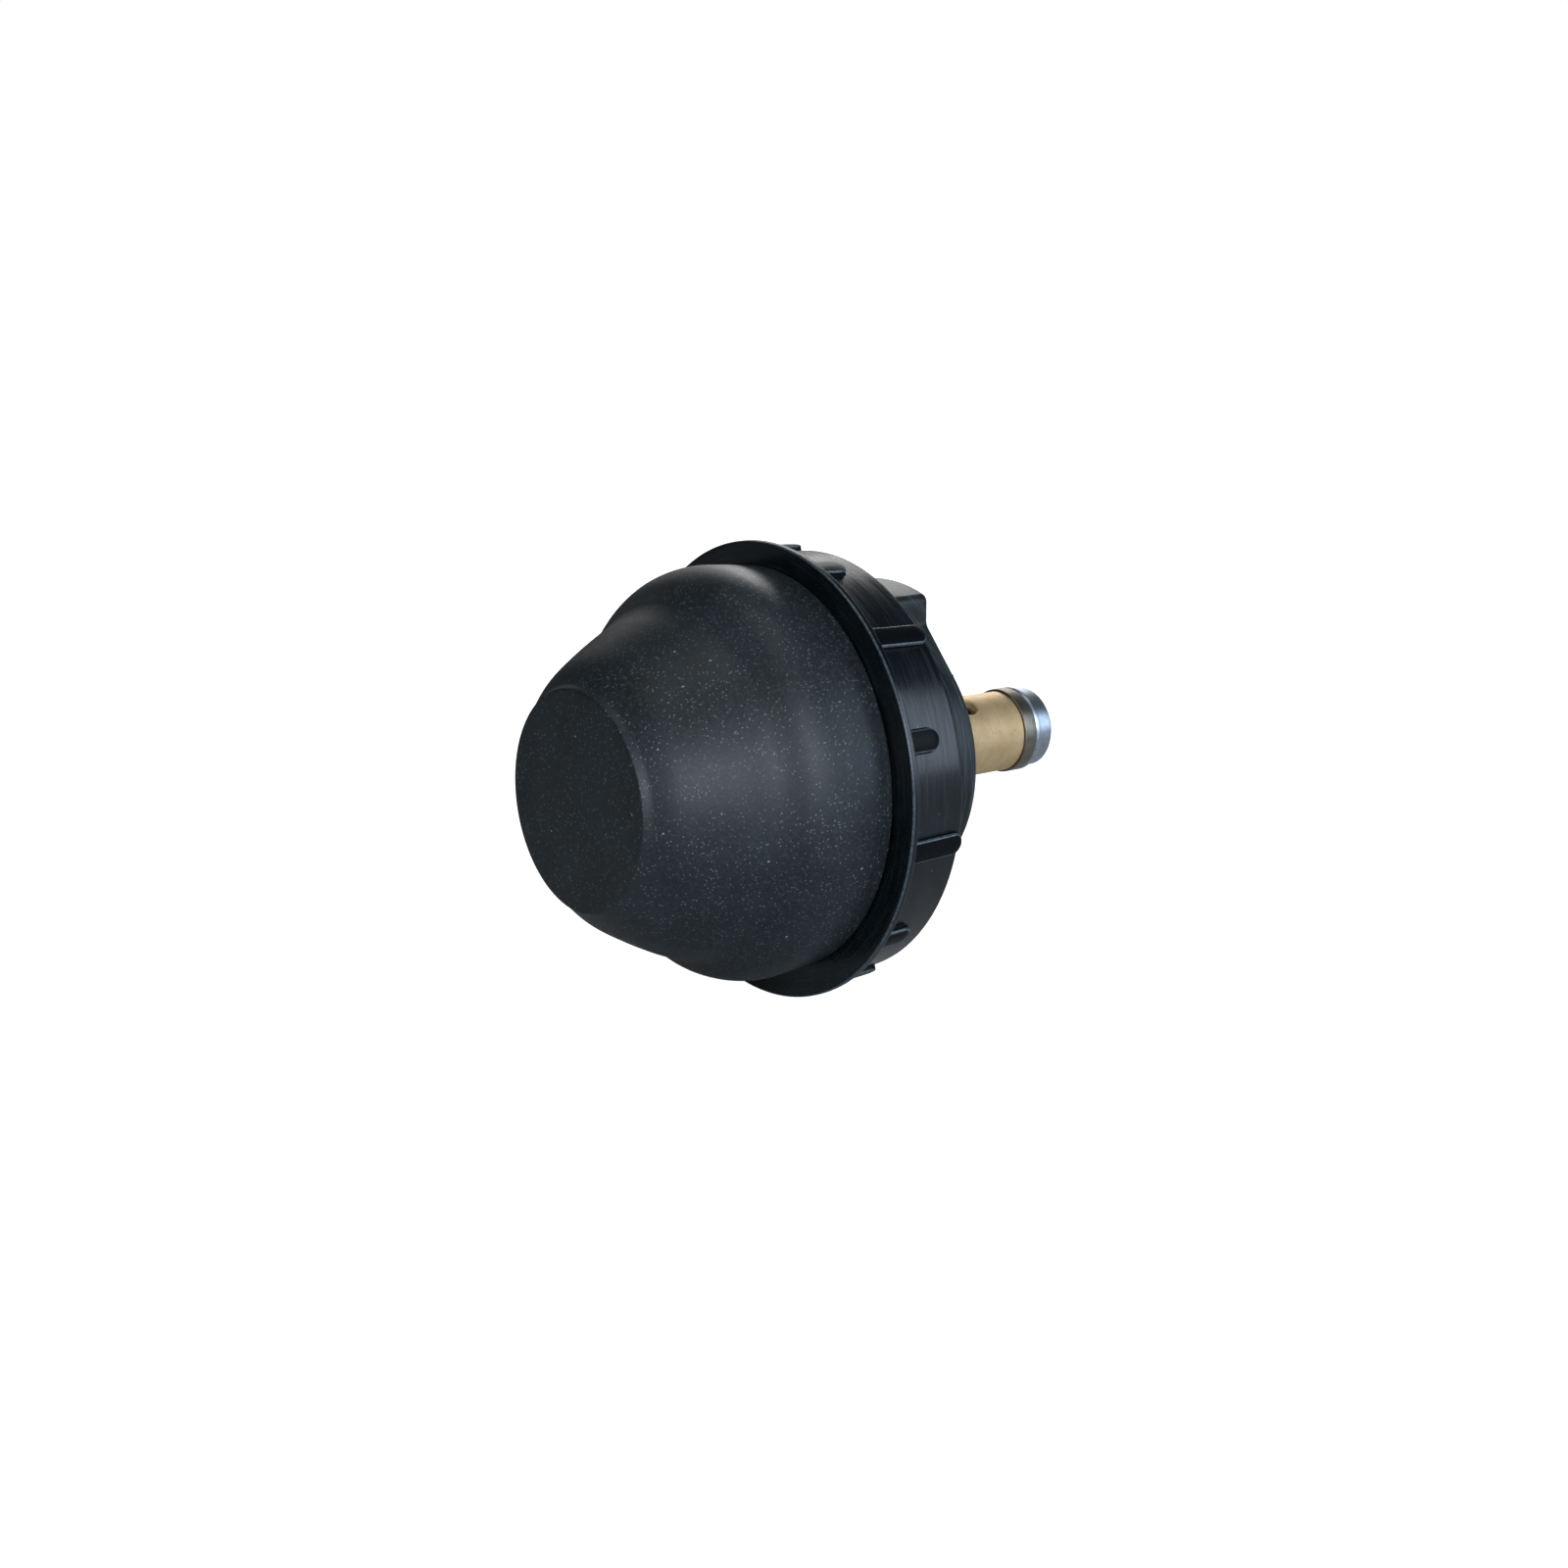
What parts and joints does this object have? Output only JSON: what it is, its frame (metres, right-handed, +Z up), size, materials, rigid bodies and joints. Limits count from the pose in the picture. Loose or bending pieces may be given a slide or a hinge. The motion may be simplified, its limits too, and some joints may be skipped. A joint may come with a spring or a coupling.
{
  "type": "industrial push button",
  "caption": "Rubber booted push button head with a ribbed ring nut, a keyed body and a sprung brass plunger at the back.",
  "frame": {"origin": "centre of the face that seats on the station's collar", "axes": "+Y is the push direction, from the boot to the plunger's tip; +Z is up, towards the key"},
  "size_m": [0.04, 0.051, 0.04],
  "materials": {
    "boot_rubber": "matte",
    "ring_plastic": "gloss",
    "body_plastic": "satin",
    "gasket_rubber": "matte",
    "sleeve_brass": "satin",
    "bush_bronze": "satin",
    "zinc_steel": "satin",
    "dark_steel": "satin",
    "spring_steel": "satin",
    "sheet_steel": "satin",
    "cap_plastic": "satin"
  },
  "bodies": {
    "housing": {"body": "body_plastic", "boot": "boot_rubber", "slip_washer": "sheet_steel", "boot_retainer": "sheet_steel", "flange_gasket": "gasket_rubber", "guide_bush": "bush_bronze", "bush_clip": "spring_steel", "stop_washer": "cap_plastic", "spring_seat": "sheet_steel", "return_spring": "spring_steel"},
    "ring": {"ring_nut": "ring_plastic"},
    "plunger": {"button_cap": "cap_plastic", "cap_washer": "spring_steel", "cap_screw": "zinc_steel", "stem": "zinc_steel", "cross_pin": "dark_steel", "plunger_sleeve": "sleeve_brass", "lock_collar": "dark_steel", "plunger_tip": "zinc_steel"}
  },
  "joints": [
    {"name": "press", "type": "slide", "parent": "housing", "child": "plunger", "axis": [0, 1, 0], "range_m": [0, 0.0045], "stiffness_N_per_m": 900, "springref_m": -0.0065, "deforming": ["boot", "return_spring"]},
    {"name": "ring_turn", "type": "hinge", "parent": "housing", "child": "ring", "pos_m": [0, 0, 0], "axis": [0, 1, 0], "continuous": true}
  ]
}
